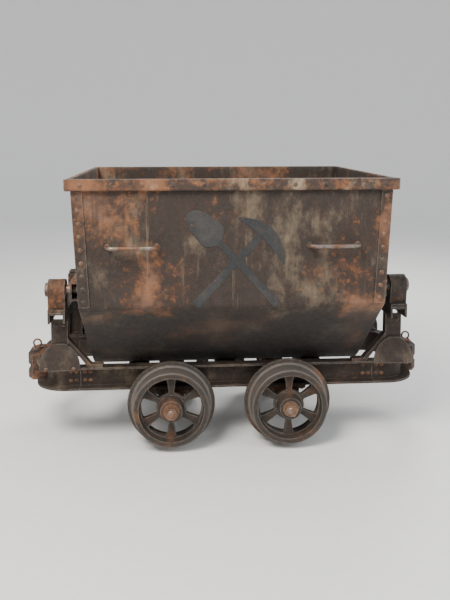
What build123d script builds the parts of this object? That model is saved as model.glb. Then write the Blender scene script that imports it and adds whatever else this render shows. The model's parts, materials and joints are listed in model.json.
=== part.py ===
from build123d import *
import os
from math import asin, atan, atan2, cos, hypot, radians, sin

# Narrow-gauge side-tipping mine cart. Millimetres, +Z up, X along the track, Y across it.
# The origin is on the ground under the middle of the cart. Front is -Y, left is -X.

os.makedirs("parts", exist_ok=True)

# ---------------------------------------------------------------- driving dimensions
TREAD_RADIUS = 160
FLANGE_RADIUS = 187
FLANGE_WIDTH = 22
FLANGE_BACK = 272            # from the middle of the track to the back of the wheel flange
TREAD_EDGE = 365             # from the middle of the track to the outer edge of the tread
WHEELBASE = 500
AXLE_RADIUS = 25
RUNNING_GAP = 0.05           # radial clearance of a shaft in its bush
SPOKES = 6

SILL_HEIGHT = 100
SILL_FLANGE = 50
SILL_BACK = 210              # from the middle of the track to the back of the sill's web
SILL_TOP = 345
SILL_END = 640               # where the straight sill is spliced to the end bow
FRAME_HALF = 840             # half the frame's length, over the end bows
BOW_RADIUS = 90
SECTION_WEB = 6
SECTION_FLANGE = 9

RIM_TOP = 1164
RIM_HALF_LENGTH = 650
RIM_HALF_WIDTH = 520
RIM_DEPTH = 46
RIM_THICK = 20
SHEET = 5                    # thickness of the tub's plates
BEND_HEIGHT = 655            # where the upright side turns into the slope
BEND_HALF_WIDTH = 488
TUB_BOTTOM = 296
BOTTOM_RADIUS = 250
END_LEAN = 40                # how far the end plate leans in from rim to bottom

STAND_X = 720                # middle of each end stand
STAND_WIDTH = 70
POST_Y = 235
HEAD_TOP = 600
HEAD_HALF = 330
PIVOT_Y = -280
PIVOT_Z = 690
PIN_RADIUS = 20
BUSH_WALL = 7
REST_Y = 280
REST_TOP = 650
LATCH_Y = 352
LATCH_Z = 622
LATCH_OPEN = 28              # degrees that a released latch leans outwards
LATCH_THICK = 12

BUFFER_FACE = 895
COUPLING_X = 862
COUPLING_PIN_RADIUS = 13

# ---------------------------------------------------------------- worked-out places
AXLE_Z = FLANGE_RADIUS
SILL_BOTTOM = SILL_TOP - SILL_HEIGHT
SILL_TIP = SILL_BACK + SILL_FLANGE
PANEL_TOP_Y = RIM_HALF_WIDTH - RIM_THICK
PANEL_TOP_X = RIM_HALF_LENGTH - RIM_THICK
TUB_HEIGHT = RIM_TOP - TUB_BOTTOM
LEFT, RIGHT = -1, 1
FRONT, REAR = -1, 1
ENDS = {"left": LEFT, "right": RIGHT}
SIDES = {"front": FRONT, "rear": REAR}


def save(piece, node):
    """Label a finished piece and write it as its own STEP file."""
    piece.part.label = node
    export_step(piece.part, f"parts/{node}.step")


def end_plate_x(z):
    """Outer face of the tub's leaning end plate at height z."""
    return PANEL_TOP_X - END_LEAN * (RIM_TOP - z) / TUB_HEIGHT


def side_plate_y(z):
    """Outer face of the tub's upright side plate at height z."""
    share = (z - BEND_HEIGHT) / (RIM_TOP - BEND_HEIGHT)
    return BEND_HALF_WIDTH + (PANEL_TOP_Y - BEND_HALF_WIDTH) * share


def facing(origin, normal):
    """Location whose local Z points along normal, for a fastener's head."""
    return Plane(origin=origin, z_dir=normal).location


def lengthwise(x, y=0, z=0):
    """Plane across the track at x, with local x along +Y and local y along +Z."""
    return Plane(origin=(x, y, z), x_dir=(0, 1, 0), z_dir=(1, 0, 0))


def crosswise(y, x=0, z=0):
    """Plane along the track at y, with local x along +X and local y along +Z."""
    return Plane(origin=(x, y, z), x_dir=(1, 0, 0), z_dir=(0, -1, 0))


# ---------------------------------------------------------------- chassis
def channel_points(side, back, tip, low, high):
    """Outline of a channel whose web is towards the middle and whose mouth faces outwards."""
    web = back + SECTION_WEB
    outline = [
        (back, low),
        (tip, low),
        (tip, low + SECTION_FLANGE),
        (web, low + SECTION_FLANGE),
        (web, high - SECTION_FLANGE),
        (tip, high - SECTION_FLANGE),
        (tip, high),
        (back, high),
    ]
    return [(side * y, z) for y, z in outline]


for name, side in SIDES.items():
    with BuildPart() as sill:
        with BuildSketch(lengthwise(-SILL_END)) as sill_section:
            with BuildLine():
                Polyline(*channel_points(side, SILL_BACK, SILL_TIP, SILL_BOTTOM, SILL_TOP), close=True)
            make_face()
        extrude(amount=2 * SILL_END)
    save(sill, f"sill_{name}")

BOW_BACK = FRAME_HALF - SILL_FLANGE
for name, end in ENDS.items():
    with BuildPart() as bow:
        with BuildLine(Plane.XY.offset(SILL_BOTTOM)) as bow_path:
            FilletPolyline(
                (end * SILL_END, -SILL_BACK),
                (end * BOW_BACK, -SILL_BACK),
                (end * BOW_BACK, SILL_BACK),
                (end * SILL_END, SILL_BACK),
                radius=BOW_RADIUS,
            )
        with BuildSketch(lengthwise(end * SILL_END)) as bow_section:
            with BuildLine():
                Polyline(*channel_points(FRONT, SILL_BACK, SILL_TIP, SILL_BOTTOM, SILL_TOP), close=True)
            make_face()
        sweep(path=bow_path.wire())
    save(bow, f"end_bow_{name}")

# Splice plates lie against the inner faces of the webs, across the joint of sill and bow.
SPLICE_LENGTH = 120
SPLICE_THICK = 8
SPLICE_HEIGHT = 70
MID_SILL_Z = (SILL_BOTTOM + SILL_TOP) / 2
with BuildPart() as splices:
    for end in ENDS.values():
        for side in SIDES.values():
            with Locations((end * SILL_END, side * (SILL_BACK - SPLICE_THICK / 2), MID_SILL_Z)):
                Box(SPLICE_LENGTH, SPLICE_THICK, SPLICE_HEIGHT)
save(splices, "splice_plates")

CROSS_WIDTH = 90
CROSS_TOP = 286
CROSS_WALL = 7
CROSS_PLACES = {"left": -400, "centre": 0, "right": 400}
for name, place in CROSS_PLACES.items():
    with BuildPart() as cross:
        with Locations((place, 0, (SILL_BOTTOM + CROSS_TOP) / 2)):
            Box(CROSS_WIDTH, 2 * SILL_BACK, CROSS_TOP - SILL_BOTTOM)
        with Locations((place, 0, (SILL_BOTTOM + CROSS_TOP) / 2 - CROSS_WALL)):
            Box(CROSS_WIDTH - 2 * CROSS_WALL, 2 * SILL_BACK, CROSS_TOP - SILL_BOTTOM, mode=Mode.SUBTRACT)
    save(cross, f"cross_member_{name}")

# ---------------------------------------------------------------- axle boxes and bushes
BOX_INNER = 206
BOX_OUTER = 260
BOX_HALF = 55
BOX_FOOT_HALF = 84
BOX_FOOT_THICK = 12
KEEPER_DEPTH = 40
BUSH_RADIUS = AXLE_RADIUS + BUSH_WALL
BOX_BOLT_X = 70
BOX_BOLT_Y = 240
M12_RADIUS = 6
BOX_LENGTH = BOX_OUTER - BOX_INNER
for end_name, end in ENDS.items():
    for side_name, side in SIDES.items():
        axle_x = end * WHEELBASE / 2
        box_start = BOX_OUTER if side == FRONT else -BOX_INNER
        with BuildPart() as box:
            with BuildSketch(crosswise(-box_start, axle_x, AXLE_Z)):
                with BuildLine():
                    drop = SILL_BOTTOM - AXLE_Z
                    Polyline(
                        (-BOX_HALF, 0),
                        (BOX_HALF, 0),
                        (BOX_HALF, drop - BOX_FOOT_THICK),
                        (BOX_FOOT_HALF, drop - BOX_FOOT_THICK),
                        (BOX_FOOT_HALF, drop),
                        (-BOX_FOOT_HALF, drop),
                        (-BOX_FOOT_HALF, drop - BOX_FOOT_THICK),
                        (-BOX_HALF, drop - BOX_FOOT_THICK),
                        close=True,
                    )
                make_face()
                Circle(BUSH_RADIUS, mode=Mode.SUBTRACT)
            extrude(amount=-BOX_LENGTH)
            with Locations((axle_x, side * BOX_BOLT_Y, SILL_BOTTOM)):
                with GridLocations(2 * BOX_BOLT_X, 0, 2, 1):
                    Hole(M12_RADIUS, depth=BOX_FOOT_THICK)
        save(box, f"axle_box_{side_name}_{end_name}")

# The keeper closes the axle box from below, so that a wheelset drops out when it is unbolted.
KEEPER_ROUND = 52
with BuildPart() as keepers:
    for end in ENDS.values():
        for side in SIDES.values():
            start = BOX_OUTER if side == FRONT else -BOX_INNER
            with BuildSketch(crosswise(-start, end * WHEELBASE / 2, AXLE_Z)):
                with BuildLine():
                    Line((-BOX_HALF, 0), (BOX_HALF, 0))
                    Line((BOX_HALF, 0), (BOX_HALF, -KEEPER_DEPTH / 4))
                    ThreePointArc(
                        (BOX_HALF, -KEEPER_DEPTH / 4), (0, -KEEPER_ROUND), (-BOX_HALF, -KEEPER_DEPTH / 4)
                    )
                    Line((-BOX_HALF, -KEEPER_DEPTH / 4), (-BOX_HALF, 0))
                make_face()
                Circle(BUSH_RADIUS, mode=Mode.SUBTRACT)
            extrude(amount=-BOX_LENGTH)
save(keepers, "axle_box_keepers")

with BuildPart() as axle_bushes:
    for end in ENDS.values():
        for side in SIDES.values():
            start = BOX_OUTER if side == FRONT else -BOX_INNER
            with BuildSketch(crosswise(-start, end * WHEELBASE / 2, AXLE_Z)):
                Circle(BUSH_RADIUS)
                Circle(AXLE_RADIUS + RUNNING_GAP, mode=Mode.SUBTRACT)
            extrude(amount=-BOX_LENGTH)
save(axle_bushes, "axle_bushes")

# ---------------------------------------------------------------- wheelsets
AXLE_BODY_RADIUS = 30
JOURNAL_INNER = 200
HUB_INNER = 263
HUB_OUTER = 376
HUB_RADIUS = 54
SEAT_RADIUS = 24
THREAD_RADIUS = 16
WASHER_THICK = 5
NUT_THICK = 24
NUT_RADIUS = 27
AXLE_HALF = 408
RIM_INNER_RADIUS = 134
TREAD_TAPER = 4
WEB_INNER = 306
WEB_OUTER = 330
WINDOW_INNER = 64
WINDOW_OUTER = RIM_INNER_RADIUS - 7
WINDOW_HALF_ANGLE = 21
WINDOW_ROUND = 9


def wheel_part(axle_x, side):
    """Spoked cast wheel with its flange towards the middle of the track."""
    middle = Plane(origin=(axle_x, 0, AXLE_Z))
    turning = Axis((axle_x, 0, AXLE_Z), (0, 1, 0))
    outline = [
        (SEAT_RADIUS, HUB_INNER),
        (HUB_RADIUS - 8, HUB_INNER),
        (HUB_RADIUS, WEB_INNER),
        (RIM_INNER_RADIUS, WEB_INNER),
        (RIM_INNER_RADIUS - 2, FLANGE_BACK),
        (FLANGE_RADIUS - 6, FLANGE_BACK),
        (FLANGE_RADIUS, FLANGE_BACK + 8),
        (FLANGE_RADIUS - 2, FLANGE_BACK + 16),
        (TREAD_RADIUS + TREAD_TAPER, FLANGE_BACK + FLANGE_WIDTH + 6),
        (TREAD_RADIUS, TREAD_EDGE - 4),
        (TREAD_RADIUS - 4, TREAD_EDGE),
        (RIM_INNER_RADIUS + 2, TREAD_EDGE),
        (RIM_INNER_RADIUS - 2, WEB_OUTER),
        (HUB_RADIUS, WEB_OUTER),
        (HUB_RADIUS - 8, HUB_OUTER),
        (SEAT_RADIUS, HUB_OUTER),
    ]
    with BuildPart() as wheel:
        with BuildSketch(middle):
            with BuildLine():
                Polyline(*[(radius, side * across) for radius, across in outline], close=True)
            make_face()
        revolve(axis=turning)
        with BuildSketch(crosswise(side * WEB_INNER, axle_x, AXLE_Z)) as windows:
            for spoke in range(SPOKES):
                place = 90 + 360 / SPOKES * (spoke + 0.5)
                angles = [radians(place + turn) for turn in (-WINDOW_HALF_ANGLE, 0, WINDOW_HALF_ANGLE)]
                inner = [(WINDOW_INNER * cos(a), WINDOW_INNER * sin(a)) for a in angles]
                outer = [(WINDOW_OUTER * cos(a), WINDOW_OUTER * sin(a)) for a in angles]
                with BuildLine():
                    ThreePointArc(*inner)
                    Line(inner[2], outer[2])
                    ThreePointArc(*reversed(outer))
                    Line(outer[0], inner[0])
                make_face()
            fillet(windows.vertices(), WINDOW_ROUND)
        extrude(amount=-side * (WEB_OUTER - WEB_INNER), mode=Mode.SUBTRACT)
    return wheel


for end_name, end in ENDS.items():
    axle_x = end * WHEELBASE / 2
    with BuildPart() as axle:
        with BuildSketch(Plane(origin=(axle_x, 0, AXLE_Z))):
            with BuildLine():
                half = [
                    (AXLE_BODY_RADIUS, JOURNAL_INNER),
                    (AXLE_RADIUS, JOURNAL_INNER),
                    (AXLE_RADIUS, HUB_INNER - 1),
                    (SEAT_RADIUS, HUB_INNER - 1),
                    (SEAT_RADIUS, HUB_OUTER),
                    (THREAD_RADIUS, HUB_OUTER),
                    (THREAD_RADIUS, AXLE_HALF - 3),
                    (THREAD_RADIUS - 3, AXLE_HALF),
                    (0, AXLE_HALF),
                ]
                mirrored = [(radius, -across) for radius, across in reversed(half)]
                Polyline(*half, *mirrored, close=True)
            make_face()
        revolve(axis=Axis((axle_x, 0, AXLE_Z), (0, 1, 0)))
    save(axle, f"axle_{end_name}")

    with BuildPart() as nuts:
        for side in SIDES.values():
            with BuildSketch(crosswise(side * HUB_OUTER, axle_x, AXLE_Z)):
                Circle(NUT_RADIUS + 6)
                Circle(THREAD_RADIUS, mode=Mode.SUBTRACT)
            extrude(amount=-side * WASHER_THICK)
            with BuildSketch(crosswise(side * (HUB_OUTER + WASHER_THICK), axle_x, AXLE_Z)):
                RegularPolygon(NUT_RADIUS, 6)
                Circle(THREAD_RADIUS, mode=Mode.SUBTRACT)
            extrude(amount=-side * NUT_THICK)
    save(nuts, f"hub_nuts_{end_name}")

    for side_name, side in SIDES.items():
        save(wheel_part(axle_x, side), f"wheel_{side_name}_{end_name}")

# ---------------------------------------------------------------- end stands
POST_DEPTH = 40
POST_WALL = 6
POST_FOOT = 10
FOOT_OVERHANG = 26
HEAD_DEEP = 44
HEAD_WALL = 8
POST_TOP = HEAD_TOP - HEAD_DEEP
for end_name, end in ENDS.items():
    for side_name, side in SIDES.items():
        with BuildPart() as post:
            with Locations((end * STAND_X, side * POST_Y, SILL_TOP + POST_FOOT / 2)):
                Box(STAND_WIDTH + 2 * FOOT_OVERHANG, SILL_FLANGE, POST_FOOT)
            with Locations((end * STAND_X, side * POST_Y, SILL_TOP + POST_FOOT)):
                Box(
                    STAND_WIDTH, POST_DEPTH, POST_TOP - SILL_TOP - POST_FOOT,
                    align=(Align.CENTER, Align.CENTER, Align.MIN),
                )
            with Locations((end * STAND_X, side * (POST_Y - POST_WALL), SILL_TOP + POST_FOOT)):
                Box(
                    STAND_WIDTH - 2 * POST_WALL, POST_DEPTH, POST_TOP - SILL_TOP - POST_FOOT,
                    align=(Align.CENTER, Align.CENTER, Align.MIN), mode=Mode.SUBTRACT,
                )
        save(post, f"stand_post_{side_name}_{end_name}")

    with BuildPart() as head:
        with Locations((end * STAND_X, 0, POST_TOP)):
            Box(STAND_WIDTH, 2 * HEAD_HALF, HEAD_DEEP, align=(Align.CENTER, Align.CENTER, Align.MIN))
            Box(
                STAND_WIDTH - 2 * HEAD_WALL, 2 * HEAD_HALF, HEAD_DEEP - HEAD_WALL,
                align=(Align.CENTER, Align.CENTER, Align.MIN), mode=Mode.SUBTRACT,
            )
    save(head, f"stand_head_{end_name}")

# A flat-bar brace runs from each post down to the sill, towards the middle of the cart.
BRACE_TOP_Z = 470
BRACE_FOOT_X = 590
BRACE_WIDTH = 40
BRACE_THICK = 10
BRACE_PAD = 12
BRACE_INSET = STAND_X - STAND_WIDTH / 2
BRACE_FOOT_RUN = 50
for end_name, end in ENDS.items():
    with BuildPart() as braces:
        for side in SIDES.values():
            with BuildSketch(crosswise(side * (POST_Y - BRACE_WIDTH / 2))):
                with BuildLine():
                    slope = atan2(BRACE_TOP_Z - SILL_TOP, BRACE_INSET - BRACE_FOOT_X)
                    level = BRACE_THICK / sin(slope)
                    rise = BRACE_THICK / cos(slope)
                    outline = [
                        (BRACE_FOOT_X - BRACE_FOOT_RUN, SILL_TOP),
                        (BRACE_FOOT_X + level, SILL_TOP),
                        (BRACE_INSET, BRACE_TOP_Z - rise),
                        (BRACE_INSET, BRACE_TOP_Z),
                        (BRACE_FOOT_X + BRACE_PAD / 2 - level / 2, SILL_TOP + BRACE_PAD),
                        (BRACE_FOOT_X - BRACE_FOOT_RUN, SILL_TOP + BRACE_PAD),
                    ]
                    Polyline(*[(end * x, z) for x, z in outline], close=True)
                make_face()
            extrude(amount=-side * BRACE_WIDTH)
    save(braces, f"stand_braces_{end_name}")

# Rounded base plates flare from each post to the sill's outer edge, bell-shaped from the side.
GUSSET_THICK = 5
GUSSET_HIGH = 118
GUSSET_OUT = 84
GUSSET_TOP_HALF = 22
GUSSET_LOW = 335
with BuildPart() as gussets:
    for end in ENDS.values():
        for side in SIDES.values():
            with BuildSketch(crosswise(side * SILL_TIP, end * STAND_X, GUSSET_LOW)):
                with BuildLine():
                    right_low = (GUSSET_OUT, 0)
                    left_low = (-GUSSET_OUT, 0)
                    right_high = (GUSSET_TOP_HALF, GUSSET_HIGH)
                    left_high = (-GUSSET_TOP_HALF, GUSSET_HIGH)
                    bulge = 0.78
                    ThreePointArc(right_low, (GUSSET_OUT * bulge, GUSSET_HIGH * 0.68), right_high)
                    Line(right_high, left_high)
                    ThreePointArc(left_high, (-GUSSET_OUT * bulge, GUSSET_HIGH * 0.68), left_low)
                    Line(left_low, right_low)
                make_face()
            extrude(amount=-side * GUSSET_THICK)
save(gussets, "stand_base_plates")

# ---------------------------------------------------------------- tub pivot and rest
BEARING_FOOT = 14
BEARING_FOOT_HALF = 50
BEARING_ROUND = 44
BEARING_WAIST = 34
HINGE_BUSH_RADIUS = PIN_RADIUS + BUSH_WALL
for end_name, end in ENDS.items():
    with BuildPart() as bearing:
        with BuildSketch(lengthwise(end * STAND_X - STAND_WIDTH / 2)):
            with BuildLine():
                top = PIVOT_Z
                foot = HEAD_TOP + BEARING_FOOT
                Polyline(
                    (PIVOT_Y + BEARING_ROUND, top),
                    (PIVOT_Y + BEARING_WAIST, foot),
                    (PIVOT_Y + BEARING_FOOT_HALF, foot),
                    (PIVOT_Y + BEARING_FOOT_HALF, HEAD_TOP),
                    (PIVOT_Y - BEARING_FOOT_HALF, HEAD_TOP),
                    (PIVOT_Y - BEARING_FOOT_HALF, foot),
                    (PIVOT_Y - BEARING_WAIST, foot),
                    (PIVOT_Y - BEARING_ROUND, top),
                )
                ThreePointArc(
                    (PIVOT_Y - BEARING_ROUND, top),
                    (PIVOT_Y, top + BEARING_ROUND),
                    (PIVOT_Y + BEARING_ROUND, top),
                )
            make_face()
            with Locations((PIVOT_Y, PIVOT_Z)):
                Circle(HINGE_BUSH_RADIUS, mode=Mode.SUBTRACT)
        extrude(amount=STAND_WIDTH)
    save(bearing, f"hinge_bearing_{end_name}")

with BuildPart() as hinge_bushes:
    for end in ENDS.values():
        with BuildSketch(lengthwise(end * STAND_X - STAND_WIDTH / 2, PIVOT_Y, PIVOT_Z)):
            Circle(HINGE_BUSH_RADIUS)
            Circle(PIN_RADIUS + RUNNING_GAP, mode=Mode.SUBTRACT)
        extrude(amount=STAND_WIDTH)
save(hinge_bushes, "hinge_bushes")

# The rest pad carries the tub's free side, and its forked ear holds the latch.
REST_HALF = 38
EAR_ROUND = 18
LATCH_BOLT_RADIUS = 8
LATCH_SLOT = LATCH_THICK + 1
for end_name, end in ENDS.items():
    with BuildPart() as rest:
        with Locations((end * STAND_X, REST_Y, HEAD_TOP)):
            Box(
                STAND_WIDTH, 2 * REST_HALF, REST_TOP - HEAD_TOP,
                align=(Align.CENTER, Align.CENTER, Align.MIN),
            )
        with BuildSketch(lengthwise(end * STAND_X - STAND_WIDTH / 2)):
            with BuildLine():
                Polyline(
                    (REST_Y + REST_HALF, HEAD_TOP),
                    (LATCH_Y, LATCH_Z - EAR_ROUND),
                    (LATCH_Y, LATCH_Z + EAR_ROUND),
                    (REST_Y + REST_HALF, LATCH_Z + EAR_ROUND),
                    close=True,
                )
            make_face()
            with Locations((LATCH_Y, LATCH_Z)):
                Circle(EAR_ROUND)
                Circle(LATCH_BOLT_RADIUS, mode=Mode.SUBTRACT)
        extrude(amount=STAND_WIDTH)
        with Locations((end * STAND_X, REST_Y + REST_HALF, HEAD_TOP)):
            Box(LATCH_SLOT, 200, 200, align=(Align.CENTER, Align.MIN, Align.CENTER), mode=Mode.SUBTRACT)
    save(rest, f"rest_pad_{end_name}")

LATCH_ARM = 24
LATCH_REACH = 62
HOOK_UNDER = 50
HOOK_TOP = 76
for end_name, end in ENDS.items():
    tilt = radians(-LATCH_OPEN)
    leaning = Plane(
        origin=(end * STAND_X - LATCH_THICK / 2, LATCH_Y, LATCH_Z),
        x_dir=(0, cos(tilt), sin(tilt)),
        z_dir=(1, 0, 0),
    )
    with BuildPart() as latch:
        with BuildSketch(leaning) as latch_outline:
            with BuildLine():
                Polyline(
                    (-LATCH_ARM / 2, 0),
                    (-LATCH_ARM / 2, HOOK_UNDER),
                    (-LATCH_REACH, HOOK_UNDER),
                    (-LATCH_REACH + 8, HOOK_TOP),
                    (LATCH_ARM / 2, HOOK_TOP),
                    (LATCH_ARM / 2 + 12, HOOK_TOP + 60),
                    (LATCH_ARM / 2 + 28, HOOK_TOP + 56),
                    (LATCH_ARM / 2, 0),
                    close=True,
                )
            make_face()
            Circle(LATCH_ARM / 2 + 2)
            Circle(LATCH_BOLT_RADIUS + RUNNING_GAP, mode=Mode.SUBTRACT)
        extrude(amount=LATCH_THICK)
    save(latch, f"latch_{end_name}")

with BuildPart() as latch_bolts:
    for end in ENDS.values():
        with Locations(facing((end * STAND_X - STAND_WIDTH / 2, LATCH_Y, LATCH_Z), (1, 0, 0))):
            Cylinder(LATCH_BOLT_RADIUS, STAND_WIDTH, align=(Align.CENTER, Align.CENTER, Align.MIN))
        for face in (-1, 1):
            spot = (end * STAND_X + face * STAND_WIDTH / 2, LATCH_Y, LATCH_Z)
            with BuildSketch(Plane(origin=spot, z_dir=(face, 0, 0))):
                RegularPolygon(LATCH_BOLT_RADIUS + 6, 6)
            extrude(amount=10)
save(latch_bolts, "latch_bolts")

# ---------------------------------------------------------------- buffers
BUFFER_HALF = 85
BUFFER_FLAT = 46
BUFFER_SHOULDER = BUFFER_FACE - 26
BUFFER_LOW = 238
BUFFER_HIGH = 352
BUFFER_BACK = BOW_BACK + SECTION_WEB
POCKET_DEEP = 58
POCKET_LOW = 276
POCKET_HIGH = 302
for end_name, end in ENDS.items():
    with BuildPart() as buffer:
        with BuildSketch(Plane.XY.offset(BUFFER_LOW)):
            with BuildLine():
                Polyline(
                    (end * BUFFER_BACK, BUFFER_HALF),
                    (end * BUFFER_BACK, -BUFFER_HALF),
                    (end * BUFFER_SHOULDER, -BUFFER_HALF),
                    (end * BUFFER_FACE, -BUFFER_FLAT),
                    (end * BUFFER_FACE, BUFFER_FLAT),
                    (end * BUFFER_SHOULDER, BUFFER_HALF),
                    close=True,
                )
            make_face()
        extrude(amount=BUFFER_HIGH - BUFFER_LOW)
        fillet(buffer.faces().sort_by(Axis.Z)[-1].edges(), 5)
        # The end bow's two flanges fit into slots across the back of the casting.
        with Locations((end * (BUFFER_FACE - POCKET_DEEP), 0, (POCKET_LOW + POCKET_HIGH) / 2)):
            Box(
                POCKET_DEEP * 2, 2 * BUFFER_HALF - 44, POCKET_HIGH - POCKET_LOW,
                align=(Align.MIN if end > 0 else Align.MAX, Align.CENTER, Align.CENTER),
                mode=Mode.SUBTRACT,
            )
        with Locations((end * COUPLING_X, 0, BUFFER_HIGH)):
            Hole(COUPLING_PIN_RADIUS + RUNNING_GAP, depth=BUFFER_HIGH - BUFFER_LOW)
        for low in (SILL_BOTTOM, SILL_TOP - SECTION_FLANGE):
            with Locations((end * (FRAME_HALF + BUFFER_BACK) / 2, 0, low)):
                Box(
                    FRAME_HALF - BUFFER_BACK, 4 * BUFFER_HALF, SECTION_FLANGE,
                    align=(Align.CENTER, Align.CENTER, Align.MIN), mode=Mode.SUBTRACT,
                )
    save(buffer, f"buffer_{end_name}")

PIN_LENGTH = 136
PIN_HEAD_RADIUS = 21
PIN_HEAD_HIGH = 12
PIN_RING_RADIUS = 17
PIN_RING_WIRE = 4
for end_name, end in ENDS.items():
    with BuildPart() as pin:
        with Locations((end * COUPLING_X, 0, BUFFER_HIGH)):
            Cylinder(PIN_HEAD_RADIUS, PIN_HEAD_HIGH, align=(Align.CENTER, Align.CENTER, Align.MIN))
            Cylinder(COUPLING_PIN_RADIUS, PIN_LENGTH, align=(Align.CENTER, Align.CENTER, Align.MAX))
        eye = (end * COUPLING_X, 0, BUFFER_HIGH + PIN_HEAD_HIGH + PIN_RING_RADIUS)
        with Locations(facing(eye, (0, 1, 0))):
            Torus(PIN_RING_RADIUS, PIN_RING_WIRE)
    save(pin, f"coupling_pin_{end_name}")

# ---------------------------------------------------------------- tub
LEAN = atan(END_LEAN / TUB_HEIGHT)
OPEN_ABOVE = 60


def leaning_plane(end, inset):
    """Plane parallel to the tub's end plate, inset from its outer face, facing outwards."""
    normal = (end * cos(LEAN), 0, -sin(LEAN))
    origin = (end * (PANEL_TOP_X - inset / cos(LEAN)), 0, RIM_TOP)
    return Plane(origin=origin, z_dir=normal)


def trough_outline():
    """Closed outline of the tub's cross-section: upright sides, slopes and a rounded bottom."""
    centre_z = TUB_BOTTOM + BOTTOM_RADIUS
    reach = hypot(BEND_HALF_WIDTH, BEND_HEIGHT - centre_z)
    slope = atan2(BEND_HEIGHT - centre_z, BEND_HALF_WIDTH) + asin(BOTTOM_RADIUS / reach)
    tangent_y = BOTTOM_RADIUS * sin(slope)
    tangent_z = centre_z - BOTTOM_RADIUS * cos(slope)
    above_z = RIM_TOP + OPEN_ABOVE
    above_y = side_plate_y(above_z)
    Polyline((tangent_y, tangent_z), (BEND_HALF_WIDTH, BEND_HEIGHT), (above_y, above_z))
    Polyline((-tangent_y, tangent_z), (-BEND_HALF_WIDTH, BEND_HEIGHT), (-above_y, above_z))
    Line((above_y, above_z), (-above_y, above_z))
    ThreePointArc((-tangent_y, tangent_z), (0, TUB_BOTTOM), (tangent_y, tangent_z))


def cut_above_rim():
    """Remove everything of the current sketch above the tub's top edge."""
    with Locations((0, RIM_TOP)):
        Rectangle(
            4 * RIM_HALF_WIDTH, 2 * OPEN_ABOVE,
            align=(Align.CENTER, Align.MIN), mode=Mode.SUBTRACT,
        )


with BuildPart() as trough:
    with BuildSketch(lengthwise(-RIM_HALF_LENGTH)):
        with BuildLine():
            trough_outline()
        make_face()
        offset(amount=-SHEET, kind=Kind.INTERSECTION, mode=Mode.SUBTRACT)
        cut_above_rim()
    extrude(amount=2 * RIM_HALF_LENGTH)
    for end in ENDS.values():
        split(bisect_by=leaning_plane(end, 0), keep=Keep.BOTTOM)
save(trough, "tub_trough")

for end_name, end in ENDS.items():
    with BuildPart() as end_plate:
        with BuildSketch(lengthwise(end * (PANEL_TOP_X - END_LEAN - 2 * SHEET))):
            with BuildLine():
                trough_outline()
            make_face()
            offset(amount=-SHEET, kind=Kind.INTERSECTION, mode=Mode.REPLACE)
            cut_above_rim()
        extrude(amount=end * (END_LEAN + 3 * SHEET))
        split(bisect_by=leaning_plane(end, 0), keep=Keep.BOTTOM)
        split(bisect_by=leaning_plane(end, SHEET), keep=Keep.TOP)
    save(end_plate, f"tub_end_{end_name}")

RIM_ROUND = 8


def mitre(along_end, along_side, keep):
    """Cut the current rim bar on the diagonal through one corner of the rim."""
    corner = (along_end * RIM_HALF_LENGTH, along_side * RIM_HALF_WIDTH, RIM_TOP)
    split(bisect_by=Plane(origin=corner, z_dir=(along_end, -along_side, 0)), keep=keep)


for side_name, side in SIDES.items():
    with BuildPart() as rim:
        with BuildSketch(lengthwise(-RIM_HALF_LENGTH)) as rim_section:
            with Locations((side * (RIM_HALF_WIDTH - RIM_THICK / 2), RIM_TOP - RIM_DEPTH / 2)):
                Rectangle(RIM_THICK, RIM_DEPTH)
            fillet(rim_section.vertices().sort_by(Axis((0, 0, 0), (0, side, 0)))[-2:], RIM_ROUND)
        extrude(amount=2 * RIM_HALF_LENGTH)
        for end in ENDS.values():
            mitre(end, side, Keep.BOTTOM)
    save(rim, f"rim_{side_name}")

for end_name, end in ENDS.items():
    with BuildPart() as rim:
        with BuildSketch(crosswise(RIM_HALF_WIDTH)) as rim_section:
            with Locations((end * (RIM_HALF_LENGTH - RIM_THICK / 2), RIM_TOP - RIM_DEPTH / 2)):
                Rectangle(RIM_THICK, RIM_DEPTH)
            fillet(rim_section.vertices().sort_by(Axis((0, 0, 0), (end, 0, 0)))[-2:], RIM_ROUND)
        extrude(amount=2 * RIM_HALF_WIDTH)
        for side in SIDES.values():
            mitre(end, side, Keep.TOP)
    save(rim, f"rim_{end_name}")

# Straps cover the corner joints on the outside of the upright side plates.
STRAP_WIDTH = 44
STRAP_THICK = 5
STRAP_LOW = BEND_HEIGHT + 6
STRAP_HIGH = RIM_TOP - RIM_DEPTH - 3
with BuildPart() as straps:
    for end in ENDS.values():
        for side in SIDES.values():
            with BuildPart(mode=Mode.PRIVATE) as strap:
                with BuildSketch(lengthwise(end * (PANEL_TOP_X - END_LEAN - 2 * STRAP_WIDTH))):
                    with BuildLine():
                        low_y = side_plate_y(STRAP_LOW)
                        high_y = side_plate_y(STRAP_HIGH)
                        Polyline(
                            (side * low_y, STRAP_LOW),
                            (side * (low_y + STRAP_THICK), STRAP_LOW),
                            (side * (high_y + STRAP_THICK), STRAP_HIGH),
                            (side * high_y, STRAP_HIGH),
                            close=True,
                        )
                    make_face()
                extrude(amount=end * (END_LEAN + 3 * STRAP_WIDTH))
                split(bisect_by=leaning_plane(end, 0), keep=Keep.BOTTOM)
                split(bisect_by=leaning_plane(end, STRAP_WIDTH), keep=Keep.TOP)
            add(strap.part)
save(straps, "corner_straps")

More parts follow.
